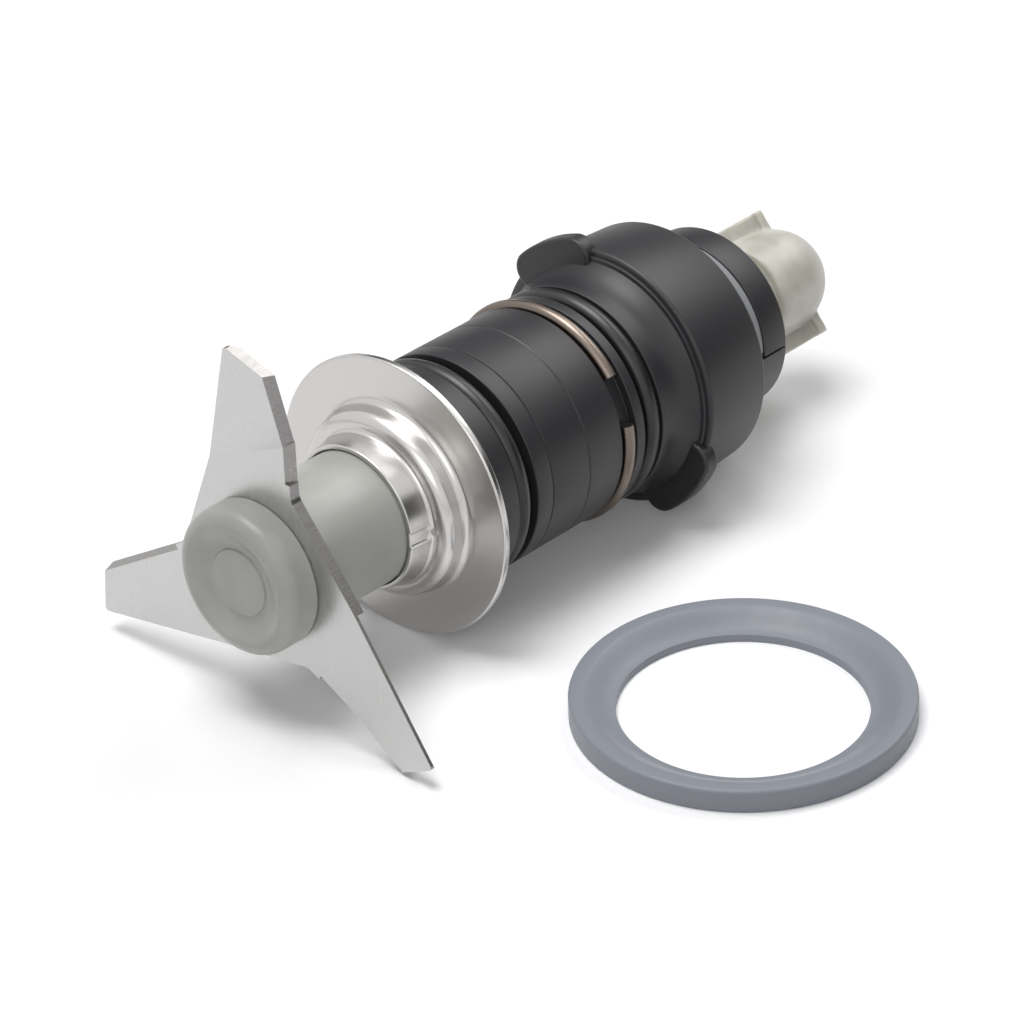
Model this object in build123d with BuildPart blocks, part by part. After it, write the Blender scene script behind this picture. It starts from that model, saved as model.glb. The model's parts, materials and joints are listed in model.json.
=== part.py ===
from build123d import *
from math import acos, asin, atan2, cos, degrees, hypot, radians, sin, sqrt, tan
import os

os.makedirs("parts", exist_ok=True)

# Blade assembly of a blender, lying on its side with its loose jar seal beside it.
# Lengths are in millimetres. A station is a distance along the turning axis from the front face
# of the flange, positive towards the drive coupling. Angles round the axis start at the top.

# Clearances
seat_gap = 0.02
shaft_gap = 0.03
rubber_gap = 0.05

# Shaft and ball bearings, size 8 x 19 x 6
shaft_radius = 4.0
shaft_flat = 3.2
stud_radius = 3.0
bearing_outer = 9.5
bearing_width = 6.0
ball_radius = 1.55
ball_gap = 0.1
ball_count = 8
race_land = 1.15
race_round = 0.3
cage_wall = 1.2
cage_width = 4.6
cage_gap = 0.17

# Deep-drawn flange cup
flange_radius = 18.5
flange_sheet = 1.0
flange_edge = 0.25
neck_reach = 6.9
neck_outer = 9.6
neck_wall = 0.45
neck_flare = 0.4
shoulder_radius = 12.4
shoulder_reach = 3.4
shoulder_sheet = 0.7
neck_root = 0.6
shoulder_round = 1.75
shoulder_root = 1.4
key_width = 2.1
key_length = 3.4
key_depth = 0.25
key_angle = 88

# Plastic body
body_radius = 14.6
body_edge = 0.25
nose_length = 12.4
pilot_reach = 2.2
pilot_radius = 11.2
spigot_radius = 12.0
spigot_length = 3.2
o_ring_section = 1.25
o_ring_squeeze = 0.15
o_groove_width = 3.4
front_groove_station = 7.2
wire_radius = 0.9
wire_proud = 0.6
wire_groove_width = 2.8
wire_groove_station = 26.6
wire_opening = (52, 78)
rib_width = 1.6
parting_station = 20.2
parting_width = 0.24
parting_depth = 0.1
bayonet_radius = 17.6
bayonet_taper = 0.65
bayonet_station = 40.4
bayonet_length = 11.9
bayonet_edge = 0.5
undercut_width = 0.6
undercut_depth = 0.5
flare_radius = 16.8
flare_length = 4.0
lug_radius = 19.2
lug_station = 39.3
lug_thickness = 2.4
lug_corner = 2.6
lug_edge = 0.35
upper_lug = (-54, -7)
lower_lug = (105, 153)
web_bore = 7.0
rear_bearing_station = 43.0
circlip_thickness = 1.0
circlip_depth = 0.6

# Rear end of the body
rear_boss_radius = 12.6
rear_boss_length = 1.2
rear_spigot_radius = 11.1
gasket_length = 3.9
gasket_proud = 0.1
lock_ring_radius = 12.65
lock_ring_length = 4.6
tab_angles = (91, 151)
tab_joint = 0.6
dust_seal_length = 3.0

# Blade sheet and its three arms, seen along the axis
blade_station = -22.95
blade_sheet = 1.5
valley = (12.9, 25.0)
trailing_tip = (32.3, -1.5)
sharp_tip = (29.2, 9.5)
fold_distance = 15.0
fold_turn = -24.5
arm_folds = (15.7, 1.5, 4.0)
arm_turns = (0, -120, 120)
tip_round = 0.5
valley_round = 1.6
bevel_width = 0.7
bevel_overcut = 0.3
bevel_start = 2.0
back_bevel_width = 1.6
back_bevel_land = 0.45

# Blade cap and hub sleeve
cap_radius = 9.55
cap_height = 4.8
cap_round = 1.9
cap_crest = 7.3
cap_dish_radius = 5.1
cap_dish_depth = 1.3
cap_disc_radius = 4.3
cap_disc_height = 0.25
cap_skin = 1.0
sleeve_radius = 8.85
sleeve_end = -0.8
wear_sleeve_radius = 5.4

# Drive coupling
coupling_start = 52.7
coupling_root_radius = 7.7
coupling_root_end = 67.8
coupling_waist = 5.8
knob_radius = 7.0
knob_start = 68.8
knob_centre = 75.3
wing_radius = 9.3
wing_thickness = 2.3
wing_start = 62.4
wing_end = 77.8
wing_turn = -39
wing_rim = 1.4
wing_rim_thickness = 4.4
pocket_start = 62.4
pocket_half_angle = 54
drive_bore_end = 70.8

# Loose jar seal
seal_outer = 21.0
seal_bore = 15.3
seal_height = 3.0
seal_lip_height = 1.1
seal_crown = 19.3
seal_along = 11.5
seal_aside = -45.7


# Resting pose
# The flange rim and the front rim of the bayonet ring lie on the floor, which tilts the axis.
# The spindle has turned until the sharp tip of the right-hand arm stops on the floor as well.
flange_contact = flange_sheet - flange_edge
bayonet_contact = bayonet_station + bayonet_edge
rest_rise = (flange_radius - bayonet_radius) / (bayonet_contact - flange_contact)
axis_tilt = asin(rest_rise / sqrt(1 + rest_rise**2))
axis_height = flange_radius * cos(axis_tilt) + flange_contact * sin(axis_tilt)


def flat_point(radius, angle):
    """A corner of the flat blank of an arm, with the arm pointing up."""
    return (radius * cos(radians(angle)), radius * sin(radians(angle)))


def folded_point(point, fold):
    """Where a point of the blank goes when the arm is folded, seen along the axis."""
    turn = radians(fold_turn)
    along = point[0] * cos(turn) + point[1] * sin(turn)
    beyond = max(0.0, along - fold_distance)
    drawn_in = beyond * (1 - cos(radians(fold)))
    return (point[0] - drawn_in * cos(turn), point[1] - drawn_in * sin(turn))


def fold_rise(point, fold):
    """How far the fold lifts a point of the blank towards the front."""
    turn = radians(fold_turn)
    beyond = max(0.0, point[0] * cos(turn) + point[1] * sin(turn) - fold_distance)
    return beyond * sin(radians(fold))


right_tip = folded_point(flat_point(*sharp_tip), arm_folds[2])
right_station = blade_station + blade_sheet - fold_rise(flat_point(*sharp_tip), arm_folds[2])
right_reach = hypot(*right_tip)
right_drop = axis_height / cos(axis_tilt) - right_station * tan(axis_tilt)
right_angle = degrees(acos(-right_drop / right_reach))
blade_spin = right_angle - degrees(atan2(right_tip[1], right_tip[0])) - arm_turns[2]

# The part's origin is on the floor under the middle of its outline, and the axis runs along +X.
left_tip = folded_point(flat_point(*trailing_tip), arm_folds[1])
left_turn = radians(arm_turns[1] + blade_spin)
left_reach = -(left_tip[0] * sin(left_turn) + left_tip[1] * cos(left_turn))
front_reach = (cap_height - blade_station) * cos(axis_tilt) + cap_crest * sin(axis_tilt)
rear_reach = knob_centre * cos(axis_tilt) + knob_radius
flange_x = (front_reach - rear_reach) / 2
flange_y = (seal_outer - seal_aside - left_reach) / 2

along_axis = Vector(cos(axis_tilt), 0, -sin(axis_tilt))
up_from_axis = Vector(sin(axis_tilt), 0, cos(axis_tilt))
flange_centre = Vector(flange_x, flange_y, axis_height)
spindle_axis = Axis(flange_centre, along_axis)

# Section plane through the axis: first coordinate the station, second the radius
section = Plane(flange_centre, x_dir=along_axis, z_dir=(0, -1, 0))


def across(station, turn=0):
    """Plane square to the axis at a station, its x pointing up before it is turned."""
    centre = flange_centre + along_axis * station
    pointing = up_from_axis * cos(radians(turn)) - Vector(0, 1, 0) * sin(radians(turn))
    return Plane(centre, x_dir=pointing, z_dir=along_axis)


def sector_outline(radius, start, end):
    """Closed pie slice between two angles, for a sketch across the axis."""
    first = flat_point(radius, start)
    middle = flat_point(radius, (start + end) / 2)
    last = flat_point(radius, end)
    Line((0, 0), first)
    ThreePointArc(first, middle, last)
    Line(last, (0, 0))


# Sizes that follow from the ones above
bore_radius = bearing_outer + seat_gap
pitch_radius = (shaft_radius + bearing_outer) / 2
race_radius = ball_radius + ball_gap
inner_land = pitch_radius - race_land
outer_land = pitch_radius + race_land
nose_end = flange_sheet + nose_length
front_bearing_station = nose_end + spigot_length
groove_radius = body_radius + o_ring_squeeze - 2 * o_ring_section
o_ring_pitch = groove_radius + o_ring_section
wire_station = wire_groove_station + wire_groove_width / 2
wire_pitch = body_radius + wire_proud - wire_radius
rear_groove_station = wire_groove_station + wire_groove_width + rib_width
neck_start = rear_groove_station + o_groove_width
bayonet_end = bayonet_station + bayonet_length
gasket_station = bayonet_end + rear_boss_length
lock_station = gasket_station + gasket_length
body_end = lock_station + lock_ring_length
blade_back = blade_station + blade_sheet
rear_bearing_end = rear_bearing_station + bearing_width
circlip_station = rear_bearing_end + rubber_gap


# Flange cup: one drawn sheet, a thin neck, a rounded shoulder and a flat flange
cup_outside = [
    (-neck_reach, neck_outer),
    (-shoulder_reach, neck_outer + neck_flare),
    (-shoulder_reach, shoulder_radius),
    (0, shoulder_radius + neck_flare / 2),
    (0, flange_radius),
]
cup_inside = [
    (flange_sheet, flange_radius),
    (flange_sheet, shoulder_radius - shoulder_sheet),
    (shoulder_sheet - shoulder_reach, shoulder_radius - shoulder_sheet),
    (shoulder_sheet - shoulder_reach, neck_outer + neck_flare - neck_wall),
    (-neck_reach, neck_outer - neck_wall),
]
with BuildPart() as flange_cup:
    with BuildSketch(section):
        with BuildLine():
            FilletPolyline(*cup_outside, radius=[neck_root, shoulder_round, shoulder_root])
            Line(cup_outside[-1], cup_inside[0])
            back_root = shoulder_root - shoulder_sheet
            back_round = shoulder_round - shoulder_sheet
            FilletPolyline(*cup_inside, radius=[back_root, back_round, neck_root + neck_wall])
            Line(cup_inside[-1], cup_outside[0])
        make_face()
    revolve(axis=spindle_axis)
    rim = flange_cup.edges().filter_by(lambda e: e.geom_type == GeomType.CIRCLE)
    fillet(rim.filter_by(lambda e: abs(e.radius - flange_radius) < 0.01), flange_edge)
    # Coined keyway, open at the lip and round at the back
    key_plane = across(-neck_reach, key_angle)
    key_tangent = Plane(key_plane.origin, x_dir=along_axis, z_dir=key_plane.x_dir)
    with BuildSketch(key_tangent.offset(neck_outer - key_depth)):
        with Locations((key_length / 2 - key_width / 4, 0)):
            Rectangle(key_length - key_width / 2, key_width)
        with Locations((key_length - key_width / 2, 0)):
            Circle(key_width / 2)
    extrude(amount=neck_flare + 4 * key_depth, mode=Mode.SUBTRACT)
flange_cup.part.label = "flange_cup"
export_step(flange_cup.part, "parts/flange_cup.step")


# Nose of the body: pilot in the shoulder, seat of the shaft seal, ring groove, spigot
seal_seat_end = front_groove_station - 0.9
with BuildPart() as front_housing:
    with BuildSketch(section):
        with BuildLine():
            Polyline(
                (-pilot_reach, bearing_outer),
                (-pilot_reach, pilot_radius),
                (flange_sheet, pilot_radius),
                (flange_sheet, body_radius - body_edge),
                (flange_sheet + body_edge, body_radius),
                (front_groove_station, body_radius),
                (front_groove_station, groove_radius),
                (front_groove_station + o_groove_width, groove_radius),
                (front_groove_station + o_groove_width, body_radius),
                (nose_end - body_edge, body_radius),
                (nose_end, body_radius - body_edge),
                (nose_end, spigot_radius),
                (front_bearing_station, spigot_radius),
                (front_bearing_station, outer_land),
                (seal_seat_end, outer_land),
                (seal_seat_end, bearing_outer),
                close=True,
            )
        make_face()
    revolve(axis=spindle_axis)
front_housing.part.label = "front_housing"
export_step(front_housing.part, "parts/front_housing.step")


# Two bayonet lugs, unevenly spaced so that the base goes on one way only
lugs = []
for start, end in (upper_lug, lower_lug):
    with BuildPart() as lug:
        with BuildSketch(across(lug_station)):
            with BuildLine():
                sector_outline(lug_radius, start, end)
            make_face()
            Circle(body_radius - 0.6, mode=Mode.SUBTRACT)
        extrude(amount=lug_thickness)
        corners = lug.edges().filter_by(spindle_axis).sort_by(
            lambda e: (e.center() - flange_centre).cross(along_axis).length
        )
        fillet(corners[-2:], lug_corner)
        fillet(lug.faces().sort_by(spindle_axis)[0].outer_wire().edges(), lug_edge)
    lugs.append(lug.part)


# Main body: barrel, wire groove, ring groove, flared neck, bayonet ring and rear spigot
flare_end = bayonet_station - undercut_depth
flare_start = flare_end - flare_length
circlip_groove = bore_radius + circlip_depth
circlip_groove_end = circlip_station + circlip_thickness + rubber_gap
with BuildPart() as main_housing:
    with BuildSketch(section):
        with BuildLine():
            Polyline(
                (nose_end, spigot_radius + seat_gap),
                (nose_end, body_radius - body_edge),
                (nose_end + body_edge, body_radius),
                (parting_station, body_radius),
                (parting_station + parting_width / 2, body_radius - parting_depth),
                (parting_station + parting_width, body_radius),
                (wire_groove_station, body_radius),
                (wire_groove_station, wire_pitch - wire_radius - seat_gap),
                (wire_groove_station + wire_groove_width, wire_pitch - wire_radius - seat_gap),
                (wire_groove_station + wire_groove_width, body_radius),
                (rear_groove_station, body_radius),
                (rear_groove_station, groove_radius),
                (neck_start, groove_radius),
                (neck_start, body_radius),
                (flare_start, body_radius),
            )
            Spline(
                (flare_start, body_radius),
                (flare_end, flare_radius - undercut_width),
                tangents=[(1, 0), (1, 1.2)],
            )
            Polyline(
                (flare_end, flare_radius - undercut_width),
                (bayonet_station, flare_radius - undercut_width),
                (bayonet_station, bayonet_radius),
                (bayonet_end, bayonet_radius - bayonet_taper),
                (bayonet_end, rear_boss_radius),
                (gasket_station, rear_boss_radius),
                (gasket_station, rear_spigot_radius),
                (body_end, rear_spigot_radius),
                (body_end, bore_radius),
                (circlip_groove_end, bore_radius),
                (circlip_groove_end, circlip_groove),
                (circlip_station, circlip_groove),
                (circlip_station, bore_radius),
                (rear_bearing_station, bore_radius),
                (rear_bearing_station, web_bore),
                (front_bearing_station + bearing_width, web_bore),
                (front_bearing_station + bearing_width, bore_radius),
                (front_bearing_station, bore_radius),
                (front_bearing_station, spigot_radius + seat_gap),
                (nose_end, spigot_radius + seat_gap),
            )
        make_face()
    revolve(axis=spindle_axis)
    rims = main_housing.edges().filter_by(lambda e: e.geom_type == GeomType.CIRCLE)
    fillet(rims.filter_by(lambda e: e.radius > bayonet_radius - bayonet_taper - 0.01), bayonet_edge)
    add(lugs)
    # Tab of the rear spigot between the ends of the lock ring
    with BuildSketch(across(gasket_station)):
        with BuildLine():
            sector_outline(lock_ring_radius, *tab_angles)
        make_face()
        Circle(rear_spigot_radius - 0.5, mode=Mode.SUBTRACT)
    extrude(amount=body_end - gasket_station)
main_housing.part.label = "main_housing"
export_step(main_housing.part, "parts/main_housing.step")


# Rubber rings in their grooves
def turned_ring(station, radius, section_radius):
    with BuildSketch(section) as profile:
        with Locations((station, radius)):
            Circle(section_radius)
    revolve(profile.sketch, axis=spindle_axis)


with BuildPart() as front_o_ring:
    turned_ring(front_groove_station + o_ring_section, o_ring_pitch, o_ring_section)
front_o_ring.part.label = "front_o_ring"
export_step(front_o_ring.part, "parts/front_o_ring.step")

with BuildPart() as rear_o_ring:
    turned_ring(neck_start - o_ring_section, o_ring_pitch, o_ring_section)
rear_o_ring.part.label = "rear_o_ring"
export_step(rear_o_ring.part, "parts/rear_o_ring.step")


# Open ring of round spring wire in the middle groove
with BuildPart() as snap_ring:
    wire_end = across(wire_station, wire_opening[1])
    wire_centre = wire_end.origin + wire_end.x_dir * wire_pitch
    with BuildSketch(Plane(wire_centre, x_dir=wire_end.x_dir, z_dir=wire_end.y_dir)):
        Circle(wire_radius)
    wire_arc = 360 - (wire_opening[1] - wire_opening[0])
    revolve(axis=spindle_axis, revolution_arc=wire_arc)
snap_ring.part.label = "snap_ring"
export_step(snap_ring.part, "parts/snap_ring.step")


# Ball bearings: outer ring, inner ring, balls and cage, the same in front and at the rear
def bearing_ring(station, inner, outer):
    with BuildSketch(section) as profile:
        with Locations((station + bearing_width / 2, (inner + outer) / 2)):
            RectangleRounded(bearing_width, outer - inner, race_round)
        with Locations((station + bearing_width / 2, pitch_radius)):
            Circle(race_radius, mode=Mode.SUBTRACT)
    revolve(profile.sketch, axis=spindle_axis)


def ball_ring(station):
    with Locations(across(station + bearing_width / 2)):
        with PolarLocations(pitch_radius, ball_count):
            Sphere(ball_radius)


def ball_cage(station):
    middle = station + bearing_width / 2
    with BuildSketch(section) as profile:
        with Locations((middle, pitch_radius)):
            Rectangle(cage_width, cage_wall)
    revolve(profile.sketch, axis=spindle_axis)
    for pocket in range(ball_count):
        spoke = across(middle, 360 / ball_count * pocket)
        pocket_plane = Plane(spoke.origin, x_dir=along_axis, z_dir=spoke.x_dir)
        with BuildSketch(pocket_plane.offset(pitch_radius - cage_wall)) as hole:
            Circle(ball_radius + cage_gap)
        extrude(hole.sketch, amount=2 * cage_wall, mode=Mode.SUBTRACT)


with BuildPart() as front_outer_ring:
    bearing_ring(front_bearing_station, outer_land, bearing_outer)
front_outer_ring.part.label = "front_outer_ring"
export_step(front_outer_ring.part, "parts/front_outer_ring.step")

with BuildPart() as front_inner_ring:
    bearing_ring(front_bearing_station, shaft_radius + shaft_gap, inner_land)
front_inner_ring.part.label = "front_inner_ring"
export_step(front_inner_ring.part, "parts/front_inner_ring.step")

with BuildPart() as front_balls:
    ball_ring(front_bearing_station)
front_balls.part.label = "front_balls"
export_step(front_balls.part, "parts/front_balls.step")

with BuildPart() as front_cage:
    ball_cage(front_bearing_station)
front_cage.part.label = "front_cage"
export_step(front_cage.part, "parts/front_cage.step")

with BuildPart() as rear_outer_ring:
    bearing_ring(rear_bearing_station, outer_land, bearing_outer)
rear_outer_ring.part.label = "rear_outer_ring"
export_step(rear_outer_ring.part, "parts/rear_outer_ring.step")

with BuildPart() as rear_inner_ring:
    bearing_ring(rear_bearing_station, shaft_radius + shaft_gap, inner_land)
rear_inner_ring.part.label = "rear_inner_ring"
export_step(rear_inner_ring.part, "parts/rear_inner_ring.step")

with BuildPart() as rear_balls:
    ball_ring(rear_bearing_station)
rear_balls.part.label = "rear_balls"
export_step(rear_balls.part, "parts/rear_balls.step")

with BuildPart() as rear_cage:
    ball_cage(rear_bearing_station)
rear_cage.part.label = "rear_cage"
export_step(rear_cage.part, "parts/rear_cage.step")


# Plain sleeves on the shaft
def tube(start, end, inner, outer):
    with BuildSketch(section) as profile:
        with Locations(((start + end) / 2, (inner + outer) / 2)):
            Rectangle(end - start, outer - inner)
    revolve(profile.sketch, axis=spindle_axis)


with BuildPart() as bearing_spacer:
    spacer_start = front_bearing_station + bearing_width
    tube(spacer_start, rear_bearing_station, shaft_radius + shaft_gap, wear_sleeve_radius)
bearing_spacer.part.label = "bearing_spacer"
export_step(bearing_spacer.part, "parts/bearing_spacer.step")

with BuildPart() as wear_sleeve:
    tube(sleeve_end, front_bearing_station, shaft_radius + shaft_gap, wear_sleeve_radius)
wear_sleeve.part.label = "wear_sleeve"
export_step(wear_sleeve.part, "parts/wear_sleeve.step")

with BuildPart() as hub_sleeve:
    tube(blade_back, sleeve_end, shaft_radius + shaft_gap, sleeve_radius)
    outer_edges = hub_sleeve.edges().filter_by(
        lambda e: e.geom_type == GeomType.CIRCLE and abs(e.radius - sleeve_radius) < 0.01
    )
    chamfer(outer_edges, 0.4)
hub_sleeve.part.label = "hub_sleeve"
export_step(hub_sleeve.part, "parts/hub_sleeve.step")


# Lip seal between the nose and the wear sleeve, with its garter spring
lip_radius = wear_sleeve_radius + rubber_gap
seal_front = 0.9
garter_station = seal_front + 2.1
garter_pitch = 7.3
garter_radius = 0.4
with BuildPart() as shaft_seal:
    with BuildSketch(section):
        with BuildLine():
            Polyline(
                (seal_front, bearing_outer - seat_gap),
                (seal_seat_end - rubber_gap, bearing_outer - seat_gap),
                (seal_seat_end - rubber_gap, lip_radius + 1.2),
                (seal_front + 4.1, lip_radius + 0.9),
                (seal_front + 2.4, lip_radius),
                (seal_front + 1.2, lip_radius + 0.8),
                (seal_front + 1.2, garter_pitch),
                (seal_front + 3.4, garter_pitch),
                (seal_front + 4.0, garter_pitch + 1.1),
                (seal_front, garter_pitch + 1.1),
                close=True,
            )
        make_face()
        with Locations((garter_station, garter_pitch)):
            Circle(garter_radius + rubber_gap, mode=Mode.SUBTRACT)
    revolve(axis=spindle_axis)
shaft_seal.part.label = "shaft_seal"
export_step(shaft_seal.part, "parts/shaft_seal.step")

with BuildPart() as garter_spring:
    turned_ring(garter_station, garter_pitch, garter_radius)
garter_spring.part.label = "garter_spring"
export_step(garter_spring.part, "parts/garter_spring.step")


# Retaining rings of the rear bearing, each stamped open on one side
def stamped_ring(station, thickness, inner, outer, opening):
    with BuildSketch(across(station, 180)) as outline:
        Circle(outer)
        Circle(inner, mode=Mode.SUBTRACT)
        with BuildLine():
            sector_outline(outer + 1, -opening / 2, opening / 2)
        make_face(mode=Mode.SUBTRACT)
    extrude(outline.sketch, amount=thickness)


with BuildPart() as bore_circlip:
    circlip_outer = circlip_groove - rubber_gap
    stamped_ring(circlip_station, circlip_thickness, bearing_outer - 1.3, circlip_outer, 30)
bore_circlip.part.label = "bore_circlip"
export_step(bore_circlip.part, "parts/bore_circlip.step")

shaft_groove = shaft_radius - 0.4
with BuildPart() as shaft_circlip:
    shaft_ring_inner = shaft_groove + seat_gap
    stamped_ring(rear_bearing_end, circlip_thickness, shaft_ring_inner, inner_land, 90)
shaft_circlip.part.label = "shaft_circlip"
export_step(shaft_circlip.part, "parts/shaft_circlip.step")


# Rubber dust seal in the mouth of the rear spigot
dust_seal_station = body_end - dust_seal_length - 0.6
with BuildPart() as dust_seal:
    with BuildSketch(section):
        with BuildLine():
            Polyline(
                (dust_seal_station, bearing_outer),
                (dust_seal_station, coupling_root_radius + 0.8),
                (dust_seal_station + 0.8, coupling_root_radius + rubber_gap),
                (dust_seal_station + 1.2, coupling_root_radius + rubber_gap),
                (dust_seal_station + 1.8, coupling_root_radius + 0.7),
                (dust_seal_station + dust_seal_length, coupling_root_radius + 0.7),
                (dust_seal_station + dust_seal_length, bearing_outer),
                close=True,
            )
        make_face()
    revolve(axis=spindle_axis)
dust_seal.part.label = "dust_seal"
export_step(dust_seal.part, "parts/dust_seal.step")


# Shaft: stud for the cap, double flat for the blade, round journal, double flat for the coupling
stud_end = blade_station - cap_height + cap_dish_depth + cap_skin
blade_flat_start = blade_station + 0.3
drive_flat_start = coupling_start + 2.5
shaft_end = drive_bore_end - 0.3
with BuildPart() as drive_shaft:
    with BuildSketch(section):
        with BuildLine():
            Polyline(
                (stud_end + 0.2, 0),
                (stud_end + 0.2, stud_radius - 0.4),
                (stud_end + 0.6, stud_radius),
                (blade_flat_start, stud_radius),
                (blade_flat_start, shaft_radius),
                (rear_bearing_end, shaft_radius),
                (rear_bearing_end, shaft_groove),
                (rear_bearing_end + circlip_thickness + rubber_gap, shaft_groove),
                (rear_bearing_end + circlip_thickness + rubber_gap, shaft_radius),
                (shaft_end - 0.5, shaft_radius),
                (shaft_end, shaft_radius - 0.5),
                (shaft_end, 0),
                close=True,
            )
        make_face()
    revolve(axis=spindle_axis)
    for start, length in ((blade_flat_start, blade_back - blade_flat_start),
                          (drive_flat_start, shaft_end - drive_flat_start)):
        with BuildSketch(across(start, blade_spin)):
            with Locations((shaft_flat + shaft_radius, 0), (-shaft_flat - shaft_radius, 0)):
                Rectangle(2 * shaft_radius, 3 * shaft_radius)
        extrude(amount=length, mode=Mode.SUBTRACT)
drive_shaft.part.label = "drive_shaft"
export_step(drive_shaft.part, "parts/drive_shaft.step")


# Blade: three arms of one sheet, each folded forward, with ground bevels
def in_fold_frame(point):
    """A blank point measured from the bend line: beyond it, and along it."""
    turn = radians(fold_turn)
    beyond = point[0] * cos(turn) + point[1] * sin(turn) - fold_distance
    return (beyond, point[1] * cos(turn) - point[0] * sin(turn))


def crossing(inner, outer):
    """Where an edge of the blank crosses the bend line."""
    before = -in_fold_frame(inner)[0]
    after = in_fold_frame(outer)[0]
    part = before / (before + after)
    return (inner[0] + part * (outer[0] - inner[0]), inner[1] + part * (outer[1] - inner[1]))


root_corner = flat_point(valley[0], valley[1] - 120)
next_root_corner = flat_point(*valley)
tip_corner = flat_point(*trailing_tip)
sharp_corner = flat_point(*sharp_tip)


def tipped_forward(plane, angle):
    """The same plane turned about its y, so that its x leans towards the front."""
    slope = radians(angle)
    leaning = plane.x_dir * cos(slope) - plane.z_dir * sin(slope)
    return Plane(plane.origin, x_dir=leaning, z_dir=plane.z_dir * cos(slope) + plane.x_dir * sin(slope))


def arm_outline(fold):
    """Outline of one arm from the hub centre, seen along the axis after the fold."""
    return [
        (0, 0),
        root_corner,
        crossing(root_corner, tip_corner),
        folded_point(tip_corner, fold),
        folded_point(sharp_corner, fold),
        crossing(next_root_corner, sharp_corner),
        next_root_corner,
    ]


def bent_strip(plane, fold):
    """Wide strip of sheet along the fold direction, flat at the hub and bent at the bend line."""
    slope = radians(fold)
    reach = 2 * fold_distance
    end_front = (fold_distance + reach * cos(slope), reach * sin(slope))
    end_back = (end_front[0] + blade_sheet * sin(slope), end_front[1] - blade_sheet * cos(slope))
    back_corner = fold_distance + blade_sheet * tan(slope / 2)
    with BuildSketch(plane) as profile:
        with BuildLine():
            Polyline(
                (-2, 0),
                (fold_distance, 0),
                end_front,
                end_back,
                (back_corner, -blade_sheet),
                (-2, -blade_sheet),
                close=True,
            )
        make_face()
    extrude(profile.sketch, amount=2 * fold_distance, both=True)


def bevel_wedge(plane, first, last, width, depth, side, before, after):
    """Wedge that grinds a bevel along an edge of the sheet; side is 1 in front, -1 at the back."""
    start = in_fold_frame(first)
    finish = in_fold_frame(last)
    length = hypot(finish[0] - start[0], finish[1] - start[1])
    step = ((finish[0] - start[0]) / length, (finish[1] - start[1]) / length)
    edge = plane.x_dir * step[0] + plane.y_dir * step[1]
    outward = (plane.y_dir * step[0] - plane.x_dir * step[1]) * side
    corner = plane.origin + plane.x_dir * start[0] + plane.y_dir * start[1]
    with BuildSketch(Plane(corner - edge * before, x_dir=outward, z_dir=edge)) as profile:
        with BuildLine():
            Polyline((-1.5 * width, -0.5 * depth), (width, 2 * depth), (width, -0.5 * depth), close=True)
        make_face()
    extrude(profile.sketch, amount=before + length + after)


front_depth = blade_sheet + bevel_overcut
back_depth = blade_sheet - back_bevel_land
lead = crossing(next_root_corner, sharp_corner)
trail = crossing(root_corner, tip_corner)
arms = []
wedges = []
for turn, fold in zip(arm_turns, arm_folds):
    hub_plane = across(blade_station, turn + blade_spin + fold_turn)
    strip_plane = Plane(hub_plane.origin, x_dir=hub_plane.x_dir, z_dir=hub_plane.y_dir)
    with BuildPart() as outline_prism:
        with BuildSketch(across(blade_station - 20, turn + blade_spin)):
            with BuildLine():
                Polyline(*arm_outline(fold), close=True)
            make_face()
        extrude(amount=40)
    with BuildPart() as arm:
        bent_strip(strip_plane, fold)
        add(outline_prism.part, mode=Mode.INTERSECT)
    arms.append(arm.part)
    bend_point = hub_plane.origin + hub_plane.x_dir * fold_distance
    frame = Plane(bend_point, x_dir=hub_plane.x_dir, z_dir=along_axis)
    folded = tipped_forward(frame, fold)
    mitre = Plane(bend_point, z_dir=tipped_forward(frame, fold / 2).x_dir)
    with BuildPart() as flat_wedge:
        bevel_wedge(frame, next_root_corner, lead, bevel_width, front_depth, 1, -bevel_start, 2)
        split(bisect_by=mitre, keep=Keep.BOTTOM)
    with BuildPart() as folded_wedge:
        bevel_wedge(folded, lead, sharp_corner, bevel_width, front_depth, 1, 2, 2)
        split(bisect_by=mitre, keep=Keep.TOP)
    with BuildPart() as back_wedge:
        back = folded.offset(blade_sheet)
        bevel_wedge(back, trail, tip_corner, back_bevel_width, back_depth, -1, -0.5, 2)
    wedges.extend([flat_wedge.part, folded_wedge.part, back_wedge.part])


def off_axis(edge):
    """Distance of an edge's middle from the turning axis."""
    return (edge.center() - flange_centre).cross(along_axis).length


with BuildPart() as blade:
    add(arms)
    upright = blade.edges().filter_by(spindle_axis)
    fillet(upright.filter_by(lambda e: abs(off_axis(e) - valley[0]) < 0.05), valley_round)
    tips = blade.edges().filter_by(spindle_axis).sort_by(off_axis)
    fillet(tips[-3:], tip_round)
    add(wedges, mode=Mode.SUBTRACT)
    with BuildSketch(across(blade_station - 1, blade_spin)):
        Circle(shaft_radius + seat_gap)
        Rectangle(2 * (shaft_flat + seat_gap), 4 * shaft_radius, mode=Mode.INTERSECT)
    extrude(amount=blade_sheet + 2, mode=Mode.SUBTRACT)
blade.part.label = "blade"
export_step(blade.part, "parts/blade.step")


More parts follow.
